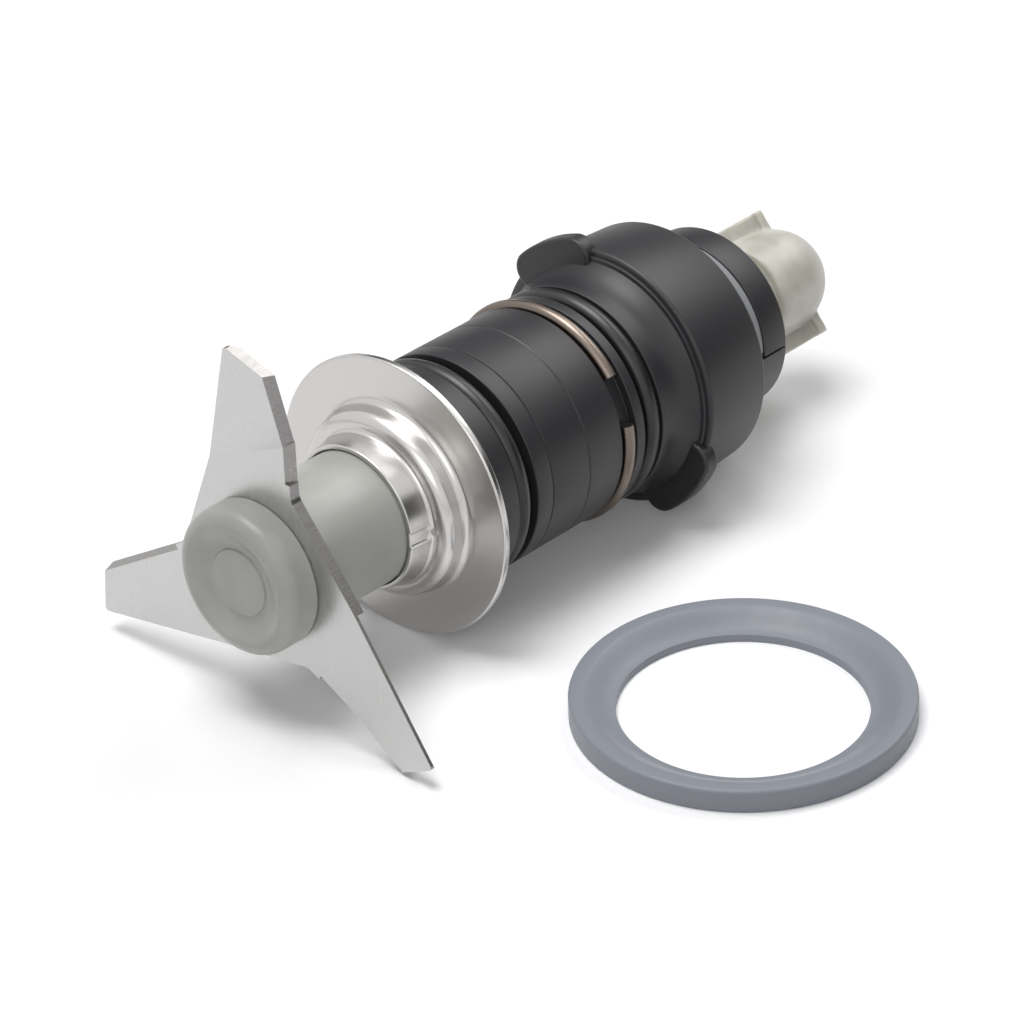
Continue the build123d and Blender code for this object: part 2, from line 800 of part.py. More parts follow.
# Dished cap, moulded over its nut, that clamps the blade on the shaft
cap_front = blade_station - cap_height
dish_floor = cap_front + cap_dish_depth
with BuildPart() as blade_cap:
    with BuildSketch(section):
        with BuildLine():
            FilletPolyline(
                (blade_station, cap_radius),
                (cap_front, cap_radius),
                (cap_front, cap_crest),
                (dish_floor, cap_dish_radius),
                (dish_floor, cap_disc_radius),
                radius=[cap_round, 1.2, 1.0],
            )
            Polyline(
                (dish_floor, cap_disc_radius),
                (dish_floor - cap_disc_height, cap_disc_radius - 0.1),
                (dish_floor - cap_disc_height, 0),
                (stud_end, 0),
                (stud_end, stud_radius + seat_gap),
                (blade_station, stud_radius + seat_gap),
                (blade_station, cap_radius),
            )
        make_face()
    revolve(axis=spindle_axis)
    back_rim = blade_cap.edges().filter_by(
        lambda e: e.geom_type == GeomType.CIRCLE and abs(e.radius - cap_radius) < 0.01
    )
    fillet(back_rim.sort_by(spindle_axis)[-1], 0.35)
blade_cap.part.label = "blade_cap"
export_step(blade_cap.part, "parts/blade_cap.step")


# Open gasket and open lock ring round the rear spigot, ending at the tab
def open_ring(station, length, inner, outer, start, end):
    with BuildSketch(across(station)) as outline:
        Circle(outer)
        Circle(inner, mode=Mode.SUBTRACT)
        with BuildLine():
            sector_outline(outer + 1, start, end)
        make_face(mode=Mode.SUBTRACT)
    extrude(outline.sketch, amount=length)


spigot_clear = rear_spigot_radius + seat_gap
joint_start = tab_angles[0] - degrees(tab_joint / lock_ring_radius) / 2
joint_end = tab_angles[1] + degrees(tab_joint / lock_ring_radius) / 2
with BuildPart() as rear_gasket:
    gasket_radius = rear_boss_radius - gasket_proud
    open_ring(gasket_station, gasket_length, spigot_clear, gasket_radius, joint_start - 3, joint_end + 1)
rear_gasket.part.label = "rear_gasket"
export_step(rear_gasket.part, "parts/rear_gasket.step")

with BuildPart() as lock_ring:
    open_ring(lock_station, lock_ring_length, spigot_clear, lock_ring_radius, joint_start, joint_end)
    outer_rims = lock_ring.edges().filter_by(
        lambda e: e.geom_type == GeomType.CIRCLE and abs(e.radius - lock_ring_radius) < 0.01
    )
    chamfer(outer_rims, 0.2)
lock_ring.part.label = "lock_ring"
export_step(lock_ring.part, "parts/lock_ring.step")


# Drive coupling: root with two pockets, waist, round knob and two driving wings
with BuildPart() as drive_coupling:
    with BuildSketch(section):
        with BuildLine():
            Polyline(
                (coupling_start, 0),
                (coupling_start, coupling_root_radius),
                (coupling_root_end, coupling_root_radius),
                (coupling_root_end, coupling_waist),
                (knob_start, coupling_waist),
                (knob_start, knob_radius - 0.3),
                (knob_start + 0.3, knob_radius),
                (knob_centre, knob_radius),
            )
            ThreePointArc(
                (knob_centre, knob_radius),
                (knob_centre + knob_radius * cos(radians(45)), knob_radius * sin(radians(45))),
                (knob_centre + knob_radius, 0),
            )
            Line((knob_centre + knob_radius, 0), (coupling_start, 0))
        make_face()
    revolve(axis=spindle_axis)
    # Pockets between the wings
    for side in (90, 270):
        with BuildSketch(across(pocket_start, wing_turn + side)):
            with BuildLine():
                sector_outline(coupling_root_radius + 2, -pocket_half_angle, pocket_half_angle)
            make_face()
            Circle(coupling_waist, mode=Mode.SUBTRACT)
        extrude(amount=coupling_root_end - pocket_start, mode=Mode.SUBTRACT)
    # Wings, each with a thicker rim at its free end
    for side in (0, 180):
        wing_plane = across(wing_start, wing_turn + side)
        rim_plane = across(wing_end - wing_rim, wing_turn + side)
        with BuildSketch(wing_plane):
            with Locations((wing_radius - 1.5, 0)):
                Rectangle(3, wing_thickness)
            with Locations((wing_radius - 4.5, 0)):
                Rectangle(4, wing_thickness)
        extrude(amount=wing_end - wing_start)
        with BuildSketch(rim_plane):
            with Locations((wing_radius - 1.9, 0)):
                Rectangle(3.8, wing_rim_thickness)
        extrude(amount=wing_rim)
    # Blind hole with two flats for the shaft
    with BuildSketch(across(coupling_start, blade_spin)):
        Circle(shaft_radius + seat_gap)
    extrude(amount=drive_flat_start - coupling_start, mode=Mode.SUBTRACT)
    with BuildSketch(across(drive_flat_start, blade_spin)):
        Circle(shaft_radius + seat_gap)
        Rectangle(2 * (shaft_flat + seat_gap), 4 * shaft_radius, mode=Mode.INTERSECT)
    extrude(amount=drive_bore_end - drive_flat_start, mode=Mode.SUBTRACT)
drive_coupling.part.label = "drive_coupling"
export_step(drive_coupling.part, "parts/drive_coupling.step")


# Loose jar seal, flat on the floor, its upper side scooped down to the inner lip
seal_axis = Axis((flange_x + seal_along, flange_y + seal_aside, 0), (0, 0, 1))
seal_section = Plane(seal_axis.position, x_dir=(1, 0, 0), z_dir=(0, -1, 0))
with BuildPart() as jar_seal:
    with BuildSketch(seal_section):
        with BuildLine():
            Polyline(
                (seal_bore, seal_lip_height),
                (seal_bore, 0),
                (seal_outer, 0),
                (seal_outer, seal_height),
                (seal_crown, seal_height),
            )
            Spline(
                (seal_crown, seal_height),
                (seal_bore, seal_lip_height),
                tangents=[(-1, -0.02), (-1, -0.12)],
            )
        make_face()
    revolve(axis=seal_axis)
    top_rim = jar_seal.edges().filter_by(
        lambda e: e.geom_type == GeomType.CIRCLE and abs(e.radius - seal_outer) < 0.01
    )
    fillet(top_rim, 0.3)
jar_seal.part.label = "jar_seal"
export_step(jar_seal.part, "parts/jar_seal.step")
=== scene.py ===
import json
import math

import bmesh
import bpy
from mathutils import Matrix, Vector


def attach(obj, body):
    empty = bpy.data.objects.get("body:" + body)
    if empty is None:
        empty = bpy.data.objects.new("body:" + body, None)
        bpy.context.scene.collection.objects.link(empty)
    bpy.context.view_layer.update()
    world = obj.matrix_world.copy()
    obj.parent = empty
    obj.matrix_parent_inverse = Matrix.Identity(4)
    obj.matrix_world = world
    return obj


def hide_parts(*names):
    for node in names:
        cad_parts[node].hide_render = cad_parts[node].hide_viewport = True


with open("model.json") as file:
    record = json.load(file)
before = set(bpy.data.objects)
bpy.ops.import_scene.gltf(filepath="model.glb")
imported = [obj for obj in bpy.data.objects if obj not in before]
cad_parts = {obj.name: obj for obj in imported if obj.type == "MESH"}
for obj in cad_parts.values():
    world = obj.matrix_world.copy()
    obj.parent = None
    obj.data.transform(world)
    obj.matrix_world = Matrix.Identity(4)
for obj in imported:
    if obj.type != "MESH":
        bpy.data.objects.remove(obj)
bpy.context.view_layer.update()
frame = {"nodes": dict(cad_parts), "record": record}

MM = 0.001

# Bodies of the frame
HOUSING = "housing"
SPINDLE = "spindle"

# Where the turning axis lies: the flange's front face is station 0, positive to the coupling
TILT = math.radians(1.2841)
FLANGE = Vector((-27.1872, 19.4175, 18.5122)) * MM
ALONG = Vector((math.cos(TILT), 0, -math.sin(TILT)))
UP = Vector((math.sin(TILT), 0, math.cos(TILT)))
SIDE = Vector((0, -1, 0))

# Radii that several outlines share, in mm
FLANGE_RADIUS = 18.5
BARREL_RADIUS = 14.6
NOSE_SPIGOT = 12.0
RING_SEAT = 12.25
REAR_RADIUS = 12.65
REAR_BOSS = 12.6
REAR_SPIGOT = 11.1
BEARING_SEAT = 9.52
SHAFT_HOLE = 4.03

# Section of the two O-rings, a radius in mm
O_RING = 1.25

# Stations that several outlines share, in mm
NECK_END = -6.9
NECK_ROOT = -3.4
FLANGE_BACK = 1.0
FRONT_GROOVE = 7.2
FRONT_GROOVE_END = 10.6
NOSE_END = 16.6
REAR_GROOVE = 31.0
REAR_GROOVE_END = 34.4
BAYONET_END = 52.3
GASKET_START = 53.5
BODY_END = 62.0


def at(station, radius=0.0, angle=0.0):
    """Point at a station (mm), a radius (mm) and an angle from the top towards the camera."""
    turn = math.radians(angle)
    out = UP * math.cos(turn) + SIDE * math.sin(turn)
    return FLANGE + ALONG * station * MM + out * radius * MM


# Materials

def srgb(code):
    """Linear colour of an sRGB hex code."""
    values = []
    for i in (0, 2, 4):
        c = int(code[i:i + 2], 16) / 255
        values.append(c / 12.92 if c <= 0.04045 else ((c + 0.055) / 1.055) ** 2.4)
    return (*values, 1.0)


def fill(tree, socket, value):
    """Gives an input a value, or links it to the output that drives it."""
    if isinstance(value, bpy.types.NodeSocket):
        tree.links.new(value, socket)
    else:
        socket.default_value = value


def add(tree, kind, settings, inputs):
    """Adds a node with its own settings and with its inputs filled."""
    node = tree.nodes.new(kind)
    for name, value in settings.items():
        setattr(node, name, value)
    for name, value in inputs.items():
        fill(tree, node.inputs[name], value)
    return node


def set_shader(material, **inputs):
    """Fills inputs of a material's shader; a space in an input's name is written as a low line."""
    tree = material.node_tree
    for name, value in inputs.items():
        fill(tree, tree.nodes["Principled BSDF"].inputs[name.replace("_", " ")], value)


def finish(name, colour, roughness, metallic=0.0, **inputs):
    """A material on the Principled shader."""
    material = bpy.data.materials.new(name)
    material.use_nodes = True
    set_shader(material, Base_Color=srgb(colour), Roughness=roughness, Metallic=metallic, **inputs)
    return material


def pattern(material, per_metre, detail=2.0, stretch=(1, 1, 1)):
    """Noise on the piece's own coordinates, drawn out along the axes where the stretch is small."""
    tree = material.node_tree
    own = add(tree, "ShaderNodeTexCoord", {}, {}).outputs["Object"]
    drawn = add(tree, "ShaderNodeMapping", {}, {"Vector": own, "Scale": stretch}).outputs["Vector"]
    noise = add(tree, "ShaderNodeTexNoise", {}, {"Vector": drawn, "Scale": per_metre, "Detail": detail})
    return noise.outputs["Fac"]


def spread(material, value, source, target):
    """Stretches a value from one range to another."""
    ends = {"From Min": source[0], "From Max": source[1], "To Min": target[0], "To Max": target[1]}
    return add(material.node_tree, "ShaderNodeMapRange", {}, {"Value": value, **ends}).outputs["Result"]


def roughen(material, height, depth, strength):
    """Fine relief in the surface."""
    relief = {"Height": height, "Distance": depth, "Strength": strength}
    set_shader(material, Normal=add(material.node_tree, "ShaderNodeBump", {}, relief).outputs["Normal"])


def two_tones(material, factor, first, second):
    """Colour that goes from the first tone to the second."""
    mix = add(material.node_tree, "ShaderNodeMix", {"data_type": "RGBA"}, {0: factor, 6: first, 7: second})
    return mix.outputs[2]


def cloud(material, per_metre, first, second):
    """Lets the colour of a moulding drift between two tones."""
    drift = spread(material, pattern(material, per_metre), (0.35, 0.65), (0, 1))
    set_shader(material, Base_Color=two_tones(material, drift, srgb(first), srgb(second)))


def stainless_cup():
    """Deep-drawn, turned and polished: mirror-like, with faint marks 0.4 mm apart round the axis."""
    steel = finish("drawn_steel", "C8C6C4", 0.24, metallic=1.0)
    marks = pattern(steel, 2600, stretch=(1, 0.04, 0.04))
    roughen(steel, marks, 0.004 * MM, 0.35)
    return steel


def stainless_blade():
    """Rolled sheet with fine long scratches, 0.1 mm apart; its ground edges are duller and striped across."""
    sheet = "C4C3C2"
    steel = finish("blade_steel", sheet, 0.3, metallic=1.0)
    tree = steel.node_tree
    scratches = pattern(steel, 9000, stretch=(1, 1, 0.015))
    roughen(steel, scratches, 0.001 * MM, 0.2)
    set_shader(steel, Roughness=spread(steel, scratches, (0.3, 0.7), (0.26, 0.36)))

    normal = add(tree, "ShaderNodeTexCoord", {}, {}).outputs["Normal"]
    facing = add(tree, "ShaderNodeVectorMath", {"operation": "DOT_PRODUCT"}, {0: normal, 1: ALONG})
    flat = add(tree, "ShaderNodeMath", {"operation": "ABSOLUTE"}, {0: facing.outputs["Value"]})
    ground = spread(steel, flat.outputs[0], (0.88, 0.94), (1, 0))
    stripes = pattern(steel, 5200, stretch=(0.05, 1, 1))
    edge = two_tones(steel, stripes, srgb("7C7A78"), srgb("A4A2A0"))
    set_shader(steel, Base_Color=two_tones(steel, ground, srgb(sheet), edge))
    return steel


def glass_filled_plastic():
    """Moulded in a spark-eroded tool: a texture of 0.2 mm that makes highlights wide and soft."""
    plastic = finish("black_plastic", "242326", 0.43, IOR=1.49)
    roughen(plastic, pattern(plastic, 5200), 0.012 * MM, 0.35)
    return plastic


def acetal(name, colour, roughness, per_metre, first, second):
    """Smooth moulding, satin, faintly cloudy."""
    plastic = finish(name, colour, roughness, IOR=1.48)
    cloud(plastic, per_metre, first, second)
    return plastic


def natural_nylon():
    """Unfilled moulding: milky, light goes a little way in."""
    depth = (1.6 * MM, 1.4 * MM, 1.0 * MM)
    inside = {"Subsurface_Weight": 0.35, "Subsurface_Radius": depth, "Subsurface_Scale": 1.0}
    plastic = finish("white_nylon", "C2C0B6", 0.34, IOR=1.53, **inside)
    cloud(plastic, 240, "B8B6AB", "CBC9C0")
    return plastic


def silicone():
    """Moulded rubber: satin, with a bloom of 1 mm patches that are a little duller."""
    rubber = finish("seal_rubber", "878B93", 0.46, IOR=1.43)
    bloom = pattern(rubber, 900, detail=3.0)
    set_shader(rubber, Roughness=spread(rubber, bloom, (0.3, 0.7), (0.4, 0.5)))
    return rubber


FINISHES = {
    "drawn_steel": stainless_cup(),
    "blade_steel": stainless_blade(),
    # Oil-tempered spring wire and stamped rings: dark brown
    "spring_steel": finish("spring_steel", "7A7068", 0.32, metallic=1.0),
    # Ground shaft and bearing rings: bright
    "bearing_steel": finish("bearing_steel", "C4C4C6", 0.2, metallic=1.0),
    "black_plastic": glass_filled_plastic(),
    "grey_acetal": acetal("grey_acetal", "A3A49F", 0.36, 160, "9FA09A", "A8A9A4"),
    "white_nylon": natural_nylon(),
    # Moulded cages of the bearings: brown, dull
    "cage_plastic": finish("cage_plastic", "5A3A22", 0.45, IOR=1.53),
    # Nitrile O-rings and lip seals: smooth, a little shine
    "black_rubber": finish("black_rubber", "1B1B1C", 0.34, IOR=1.52),
    # Band cut from sheet rubber: dull
    "grey_rubber": finish("grey_rubber", "8C8E90", 0.6, IOR=1.5),
    "seal_rubber": silicone(),
}

# The sleeve is acetal in a slightly paler tone than the cap
SLEEVE_FINISH = acetal("pale_acetal", "A9AAA4", 0.33, 120, "A3A49E", "AEAFA9")

slot_of = {s["node"]: s["material_slot"] for s in frame["record"]["subparts"]}
for name, node in frame["nodes"].items():
    node.data.materials.clear()
    node.data.materials.append(FINISHES[slot_of[name]])


# Visual pieces: finer turned shapes that stand for the coarser frame pieces

def rounded(points, steps=8):
    """Outline whose corners (x, y, rounding) are replaced by arcs of points."""
    line = []
    count = len(points)
    for i, point in enumerate(points):
        here = Vector(point[:2])
        radius = point[2] if len(point) > 2 else 0
        if not radius:
            line.append(here)
            continue
        back = (Vector(points[i - 1][:2]) - here).normalized()
        on = (Vector(points[(i + 1) % count][:2]) - here).normalized()
        half = math.acos(max(-1.0, min(1.0, back.dot(on)))) / 2
        reach = radius / math.tan(half)
        centre = here + (back + on).normalized() * radius / math.sin(half)
        first = here + back * reach - centre
        turn = math.pi - 2 * half
        sign = 1 if back.x * on.y - back.y * on.x < 0 else -1
        for n in range(steps + 1):
            angle = sign * turn * n / steps
            line.append(centre + Vector((
                first.x * math.cos(angle) - first.y * math.sin(angle),
                first.x * math.sin(angle) + first.y * math.cos(angle),
            )))
    return line


def finer(line, step, first, last):
    """The outline with its runs between two stations cut into short steps."""
    out = []
    for a, b in zip(line, line[1:] + line[:1]):
        out.append(a)
        inside = first <= min(a.x, b.x) and max(a.x, b.x) <= last
        parts = int((b - a).length / step) if inside else 0
        for n in range(1, parts):
            out.append(a.lerp(b, n / parts))
    return out


def arc(radius, first, last, steps, centre=(0, 0)):
    """Points of an arc across the axis, from one angle to another."""
    points = []
    for n in range(steps + 1):
        angle = math.radians(first + (last - first) * n / steps)
        points.append((centre[0] + radius * math.cos(angle), centre[1] + radius * math.sin(angle)))
    return points


def finish_mesh(bm, name, slot):
    """Turns the faces into a smooth object whose real corners stay sharp."""
    bmesh.ops.remove_doubles(bm, verts=bm.verts, dist=0.0001 * MM)
    bmesh.ops.recalc_face_normals(bm, faces=bm.faces)
    mesh = bpy.data.meshes.new(name)
    bm.to_mesh(mesh)
    bm.free()
    for face in mesh.polygons:
        face.use_smooth = True
    mesh.set_sharp_from_angle(angle=math.radians(32))
    mesh.materials.append(FINISHES[slot])
    obj = bpy.data.objects.new(name, mesh)
    bpy.context.collection.objects.link(obj)
    return obj


def turned(name, line, slot, body, node=None, start=0, end=360, segments=192, place=at, shape=None):
    """Solid of revolution from a closed outline; between two angles it gets flat ends."""
    bm = bmesh.new()
    whole = end - start >= 360
    steps = max(8, round(segments * (end - start) / 360))
    rings = []
    for n in range(steps if whole else steps + 1):
        angle = start + (end - start) * n / steps
        ring = []
        for p in line:
            radius = p.y
            if shape:
                radius += shape(p.x, p.y, angle)
            ring.append(bm.verts.new(place(p.x, radius, angle)))
        rings.append(ring)
    count = len(line)
    for n in range(len(rings) if whole else len(rings) - 1):
        a = rings[n]
        b = rings[(n + 1) % len(rings)]
        for i in range(count):
            j = (i + 1) % count
            bm.faces.new((a[i], a[j], b[j], b[i]))
    if not whole:
        bm.faces.new(rings[0])
        bm.faces.new(rings[-1])
    obj = finish_mesh(bm, name, slot)
    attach(obj, body)
    if node:
        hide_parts(node)
    return obj


def soften(obj, width, segments, corner):
    """Rounds the edges whose faces meet at more than the corner's angle."""
    bevel = obj.modifiers.new("edge", "BEVEL")
    bevel.width = width * MM
    bevel.segments = segments
    bevel.limit_method = "ANGLE"
    bevel.angle_limit = math.radians(corner)


# Flange cup: neck with a coined keyway, domed shoulder, flat flange
KEY_ANGLE = 88
KEY_CENTRE = -4.55
KEY_HALF_WIDTH = 1.05
KEY_WALL = 0.3
KEY_DEPTH = 0.26
KEY_LIP = 0.04
KEY_REACH = -3.3
NECK_MIDDLE = 9.3
NECK_TAPER = 0.13
NECK_WIDEST = 10.7


def keyway(station, radius, angle):
    """How far the neck's outside is pressed in, or raised as a lip round the slot."""
    middle = NECK_MIDDLE + NECK_TAPER * (station - NECK_END)
    if radius > NECK_WIDEST or radius < middle or station > KEY_REACH:
        return 0
    off = (angle - KEY_ANGLE + 180) % 360 - 180
    across = abs(math.radians(off)) * radius
    beyond = max(station - KEY_CENTRE, 0)
    depth = (KEY_HALF_WIDTH - math.hypot(across, beyond)) / KEY_WALL
    fade = max(0.0, min(1.0, depth))
    lip = max(0.0, 1 - abs(depth + 0.5) / 0.9)
    return -KEY_DEPTH * fade * fade * (3 - 2 * fade) + KEY_LIP * lip


cup = rounded([
    (NECK_END, 8.98, 0.12), (NECK_END, 9.6, 0.2), (NECK_ROOT, 10.0, 0.6), (NECK_ROOT, 12.2, 1.6),
    (0, 12.4, 1.1), (0, FLANGE_RADIUS, 0.3), (FLANGE_BACK, FLANGE_RADIUS, 0.3), (FLANGE_BACK, 11.6, 0.7),
    (-2.7, 11.6, 1.0), (-2.7, 9.55, 1.05),
], 10)
cup = finer(cup, 0.15, NECK_END, NECK_ROOT)
turned("cup", cup, "drawn_steel", HOUSING, "flange_cup", segments=360, shape=keyway)

# Cap: dished face with a small raised disc, rolled edge
CAP_BACK = -22.95
CAP_FRONT = -27.75
CAP_RADIUS = 9.55
cap = rounded([
    (CAP_BACK, 0), (CAP_BACK, CAP_RADIUS, 0.3), (CAP_FRONT, CAP_RADIUS, 1.95), (CAP_FRONT, 7.4, 1.6),
    (-26.5, 5.2, 1.2), (-26.45, 4.4, 0.08), (-26.68, 4.25, 0.12), (-26.7, 0),
], 10)
turned("cap", cap, "grey_acetal", SPINDLE, "blade_cap")

# Sleeve between blade and body
SLEEVE_FRONT = -21.45
SLEEVE_BACK = -0.8
SLEEVE_RADIUS = 8.85
sleeve = rounded([
    (SLEEVE_FRONT, SHAFT_HOLE), (SLEEVE_FRONT, SLEEVE_RADIUS, 0.4),
    (SLEEVE_BACK, SLEEVE_RADIUS, 0.4), (SLEEVE_BACK, SHAFT_HOLE),
])
hub = turned("sleeve", sleeve, "grey_acetal", SPINDLE, "hub_sleeve")
hub.data.materials[0] = SLEEVE_FINISH

def groove(first, last, floor, floor_round, rim_round):
    """Corners of a groove that is cut in the barrel, between two stations."""
    return [
        (first, BARREL_RADIUS, rim_round), (first, floor, floor_round),
        (last, floor, floor_round), (last, BARREL_RADIUS, rim_round),
    ]


# Nose of the body, with the front ring groove and the spigot that sits in the barrel
NOSE_FRONT = -2.2
NOSE_BORE = 9.5
SEAL_SEAT = 6.3
SEAL_BACK_BORE = 7.9
NOSE_SHOULDER = 13.38
nose = rounded([
    (NOSE_FRONT, NOSE_BORE), (NOSE_FRONT, 11.2), (FLANGE_BACK, 11.2), (FLANGE_BACK, BARREL_RADIUS, 0.25),
    *groove(FRONT_GROOVE, FRONT_GROOVE_END, RING_SEAT, 0.1, 0.18),
    (NOSE_SHOULDER, BARREL_RADIUS, 0.16), (NOSE_SHOULDER, NOSE_SPIGOT), (NOSE_END, NOSE_SPIGOT),
    (NOSE_END, SEAL_BACK_BORE), (SEAL_SEAT, SEAL_BACK_BORE), (SEAL_SEAT, NOSE_BORE),
], 5)
turned("nose", nose, "black_plastic", HOUSING, "front_housing")

# Main body: parting line, wire groove, rear ring groove, flared neck, bayonet ring, boss and spigot
BARREL_START = 13.44
SPIGOT_SEAT = 12.02
PARTING_LINE = 20.32
PARTING_HALF_WIDTH = 0.16
WIRE_GROOVE = 26.6
WIRE_GROOVE_END = 29.4
WIRE_SEAT = 13.38
WEB_FRONT = 22.6
WEB_BACK = 43.0
WEB_BORE = 7.0
CIRCLIP_FRONT = 49.05
CIRCLIP_BACK = 50.1
CIRCLIP_SEAT = 10.1
FLARE_START = 35.9
FLARE_LENGTH = 4.0
FLARE_RISE = 1.6
FLARE_STEPS = 16
flare = []
for n in range(FLARE_STEPS + 1):
    t = n / FLARE_STEPS
    flare.append((FLARE_START + FLARE_LENGTH * t, BARREL_RADIUS + FLARE_RISE * t ** 2.1))
barrel = rounded([
    (BARREL_START, SPIGOT_SEAT), (BARREL_START, BARREL_RADIUS, 0.16),
    (PARTING_LINE - PARTING_HALF_WIDTH, BARREL_RADIUS, 0.05), (PARTING_LINE, 14.5),
    (PARTING_LINE + PARTING_HALF_WIDTH, BARREL_RADIUS, 0.05),
    *groove(WIRE_GROOVE, WIRE_GROOVE_END, WIRE_SEAT, 0.12, 0.16),
    *groove(REAR_GROOVE, REAR_GROOVE_END, RING_SEAT, 0.1, 0.16),
    *flare,
    (39.95, 16.75, 0.12), (40.35, 16.8), (40.4, 17.6, 0.55), (BAYONET_END, 16.95, 0.6),
    (BAYONET_END, REAR_BOSS, 0.1), (GASKET_START, REAR_BOSS, 0.08), (GASKET_START, REAR_SPIGOT),
    (BODY_END, REAR_SPIGOT, 0.15), (BODY_END, BEARING_SEAT),
    (CIRCLIP_BACK, BEARING_SEAT), (CIRCLIP_BACK, CIRCLIP_SEAT),
    (CIRCLIP_FRONT, CIRCLIP_SEAT), (CIRCLIP_FRONT, BEARING_SEAT),
    (WEB_BACK, BEARING_SEAT), (WEB_BACK, WEB_BORE), (WEB_FRONT, WEB_BORE), (WEB_FRONT, BEARING_SEAT),
    (NOSE_END, BEARING_SEAT), (NOSE_END, SPIGOT_SEAT),
], 5)
turned("barrel", barrel, "black_plastic", HOUSING, "main_housing", segments=256)

# Tab that keys the gap of the lock ring
tab = rounded([
    (BAYONET_END + 0.05, 10.9), (BAYONET_END + 0.05, 12.55), (GASKET_START, REAR_RADIUS, 0.05),
    (BODY_END, REAR_RADIUS, 0.2), (BODY_END, 10.9),
], 4)
turned("tab", tab, "black_plastic", HOUSING, start=91, end=151)

# Bayonet lugs
LUG_RADIUS = 19.2
LUG_CORNER = 2.6
LUG_ROOT = 14.2
LUG_FRONT = 39.3
LUG_BACK = 41.7


def lug(name, first, last):
    """Flat lobe with round outer corners, standing out in front of the bayonet ring."""
    middle = LUG_RADIUS - LUG_CORNER
    inset = math.degrees(math.asin(LUG_CORNER / middle))
    first_corner = arc(middle, first + inset, first + inset, 1)[0]
    last_corner = arc(middle, last - inset, last - inset, 1)[0]
    points = arc(LUG_CORNER, first + inset - 90, first + inset, 12, first_corner)
    points += arc(LUG_RADIUS, first + inset, last - inset, 24)[1:-1]
    points += arc(LUG_CORNER, last - inset, last - inset + 90, 12, last_corner)
    points += arc(LUG_ROOT, last, first, 24)
    bm = bmesh.new()
    front, back = [
        [bm.verts.new(FLANGE + (ALONG * station + UP * x + SIDE * y) * MM) for x, y in points]
        for station in (LUG_FRONT, LUG_BACK)
    ]
    bm.faces.new(front)
    bm.faces.new(back)
    for i in range(len(points)):
        j = (i + 1) % len(points)
        bm.faces.new((front[i], front[j], back[j], back[i]))
    obj = finish_mesh(bm, name, "black_plastic")
    soften(obj, 0.45, 4, 50)
    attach(obj, HOUSING)


lug("lug_upper", -54, -7)
lug("lug_lower", 105, 153)


# Round rings: rubber in the two grooves, open spring wire in the third
def ring_line(station, pitch, radius, sides=28):
    """Round section of a ring, at a station and a pitch radius."""
    return [Vector(p) for p in arc(radius, 0, 360, sides, (station, pitch))[:-1]]


PITCH = RING_SEAT + O_RING
WIRE_PITCH = 14.3
WIRE = 0.9
front_ring = ring_line(FRONT_GROOVE + O_RING, PITCH, O_RING)
rear_ring = ring_line(REAR_GROOVE_END - O_RING, PITCH, O_RING)
wire = ring_line((WIRE_GROOVE + WIRE_GROOVE_END) / 2, WIRE_PITCH, WIRE)
turned("o_ring_front", front_ring, "black_rubber", HOUSING, "front_o_ring")
turned("o_ring_rear", rear_ring, "black_rubber", HOUSING, "rear_o_ring")
turned("wire", wire, "spring_steel", HOUSING, "snap_ring", start=78, end=412)

# Open grey band and the open ring that holds it
GASKET_END = 57.38
LOCK_START = 57.42
RING_BORE = 11.12
gasket = rounded([
    (GASKET_START + 0.02, RING_BORE), (GASKET_START + 0.02, 12.5, 0.1),
    (GASKET_END, 12.5, 0.1), (GASKET_END, RING_BORE),
], 4)
turned("gasket", gasket, "grey_rubber", HOUSING, "rear_gasket", start=152.4, end=446.6)
lock = rounded([
    (LOCK_START, RING_BORE), (LOCK_START, REAR_RADIUS, 0.2),
    (BODY_END, REAR_RADIUS, 0.25), (BODY_END, RING_BORE),
], 4)
turned("lock", lock, "black_plastic", HOUSING, "lock_ring", start=152.4, end=449.6)

# Loose jar seal: scooped ring that lies on the floor, its outline in height and radius
SEAL_CENTRE = FLANGE + Vector((11.5, -45.7, 0)) * MM
SEAL_BORE = 15.3
SEAL_RADIUS = 21.0
SEAL_HEIGHT = 3.0
SCOOP_STEPS = 24


def on_floor(height, radius, angle):
    """Point of the loose seal."""
    turn = math.radians(angle)
    out = Vector((math.cos(turn), math.sin(turn))) * radius * MM
    return Vector((SEAL_CENTRE.x + out.x, SEAL_CENTRE.y + out.y, height * MM))


seal = [Vector((0, SEAL_BORE)), Vector((0, SEAL_RADIUS - 0.15)), Vector((0.15, SEAL_RADIUS))]
seal += rounded([(2.0, SEAL_RADIUS), (SEAL_HEIGHT, SEAL_RADIUS, 0.45), (SEAL_HEIGHT, 19.2)])[1:-1]
for n in range(SCOOP_STEPS + 1):
    t = n / SCOOP_STEPS
    eased = t * t * (3 - 2 * t)
    seal.append(Vector((SEAL_HEIGHT - 1.9 * eased ** 0.8, 19.3 - 3.85 * t)))
seal += [Vector((1.05, SEAL_BORE + 0.04)), Vector((0.95, SEAL_BORE))]
turned("seal", seal, "seal_rubber", HOUSING, "jar_seal", segments=256, place=on_floor)

# Blade: fine broken edges so that they catch light
soften(frame["nodes"]["blade"], 0.05, 2, 12)

# Coupling: moulded, all edges softened
coupling = bpy.data.objects.new("coupling", frame["nodes"]["drive_coupling"].data.copy())
bpy.context.collection.objects.link(coupling)
melt = coupling.modifiers.new("melt", "REMESH")
melt.mode = "VOXEL"
melt.voxel_size = 0.2 * MM
melt.use_smooth_shade = True
ease = coupling.modifiers.new("ease", "SMOOTH")
ease.factor = 0.6
ease.iterations = 6
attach(coupling, SPINDLE)
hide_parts("drive_coupling")


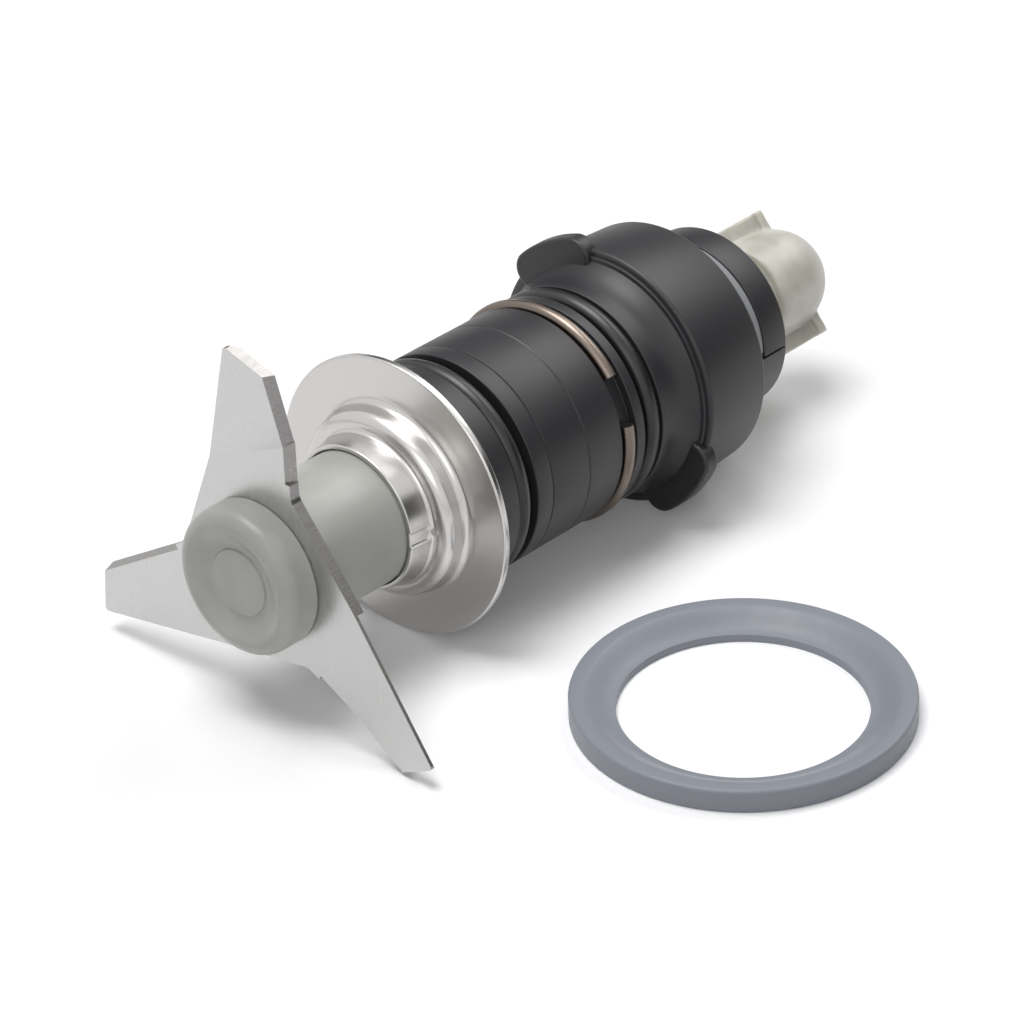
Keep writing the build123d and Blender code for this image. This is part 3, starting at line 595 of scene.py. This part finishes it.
# Studio: white floor and backdrop, three soft boxes, two cards that the polished steel mirrors
TARGET = Vector((0, 0, 0.02))
FLOOR_LIFT = 0.09
FILL_LIGHT = (0.16, 0.16, 0.163, 1)
WHITE = (1, 1, 1, 1)


def seen(tree):
    """1 for what the camera sees, directly or mirrored, and 0 for what only lights the part."""
    path = add(tree, "ShaderNodeLightPath", {}, {})
    total = path.outputs["Is Camera Ray"]
    for ray in ("Is Glossy Ray", "Is Transmission Ray"):
        larger = add(tree, "ShaderNodeMath", {"operation": "MAXIMUM"}, {0: total, 1: path.outputs[ray]})
        total = larger.outputs[0]
    return total


def sheet(name, size, place, material):
    """A square sheet that isn't part of the object."""
    bpy.ops.mesh.primitive_plane_add(size=size, location=place)
    obj = bpy.context.object
    obj.name = name
    obj.data.materials.append(material)
    return obj


def aim(obj, place, axis):
    """Turns an object at a place so that one of its axes points to the part."""
    obj.rotation_euler = (TARGET - Vector(place)).to_track_quat(axis, "Y").to_euler()


def paper_floor():
    """White paper that takes the part's shadow; a little glow keeps the shadow from going black."""
    paper = finish("paper", "F7F7F8", 0.9, Specular_IOR_Level=0.0, Emission_Color=WHITE)
    tree = paper.node_tree
    lift = add(tree, "ShaderNodeMath", {"operation": "MULTIPLY"}, {0: seen(tree), 1: FLOOR_LIFT})
    set_shader(paper, Emission_Strength=lift.outputs[0])
    sheet("floor", 6.0, (0, 0, 0), paper)


def white_world():
    """White to the camera and in mirrors, a dim grey as a light."""
    world = bpy.data.worlds.new("studio")
    bpy.context.scene.world = world
    world.use_nodes = True
    tree = world.node_tree
    background = tree.nodes["Background"]
    tones = {0: seen(tree), 6: FILL_LIGHT, 7: WHITE}
    mix = add(tree, "ShaderNodeMix", {"data_type": "RGBA"}, tones)
    fill(tree, background.inputs["Color"], mix.outputs[2])
    fill(tree, background.inputs["Strength"], 1.0)


def card(name, place, width, height, tone):
    """A matt card beside the part that its polished metal mirrors as a dark band, never in the way."""
    panel = sheet(name, 1.0, place, finish(name, tone, 0.9))
    panel.scale = (width, height, 1)
    panel.visible_camera = False
    aim(panel, place, "Z")


def soft_box(name, place, size, power):
    """An area light that points to the part."""
    light = bpy.data.lights.new(name, "AREA")
    light.shape = "RECTANGLE"
    light.size, light.size_y = size
    light.energy = power
    box = bpy.data.objects.new(name, light)
    bpy.context.collection.objects.link(box)
    box.location = place
    aim(box, place, "-Z")


paper_floor()
white_world()
soft_box("key", (-0.12, 0.12, 0.72), (0.42, 0.42), 4.1)
soft_box("strip", (0.34, -0.02, 0.43), (0.34, 0.2), 0.8)
soft_box("front", (-0.55, -0.35, 0.45), (0.5, 0.4), 0.8)
card("dark_card", (0.27, -0.3, 0.125), 0.5, 0.23, "181818")
card("grey_card", (0.33, 0.31, 0.22), 0.42, 0.22, "585858")

# Camera of the photograph
HEADING = math.radians(42.56)
ELEVATION = math.radians(31.14)
ROLL = math.radians(-2.16)
SENSOR = 36
LENS = 140.625
ahead = Vector((math.cos(HEADING), math.sin(HEADING), 0))
forward = ahead * math.cos(ELEVATION) - Vector((0, 0, math.sin(ELEVATION)))
level = Vector((math.sin(HEADING), -math.cos(HEADING), 0))
upright = level.cross(forward)
right = level * math.cos(ROLL) + upright * math.sin(ROLL)
top = upright * math.cos(ROLL) - level * math.sin(ROLL)
stand = FLANGE + Vector((-300.0, -295.3, 251.3)) * MM
lens = bpy.data.cameras.new("camera")
lens.sensor_width = SENSOR
lens.lens = LENS
camera = bpy.data.objects.new("camera", lens)
bpy.context.collection.objects.link(camera)
camera.matrix_world = Matrix((
    (right.x, top.x, -forward.x, stand.x),
    (right.y, top.y, -forward.y, stand.y),
    (right.z, top.z, -forward.z, stand.z),
    (0, 0, 0, 1),
))
bpy.context.scene.camera = camera
bpy.context.scene.view_settings.view_transform = "Standard"
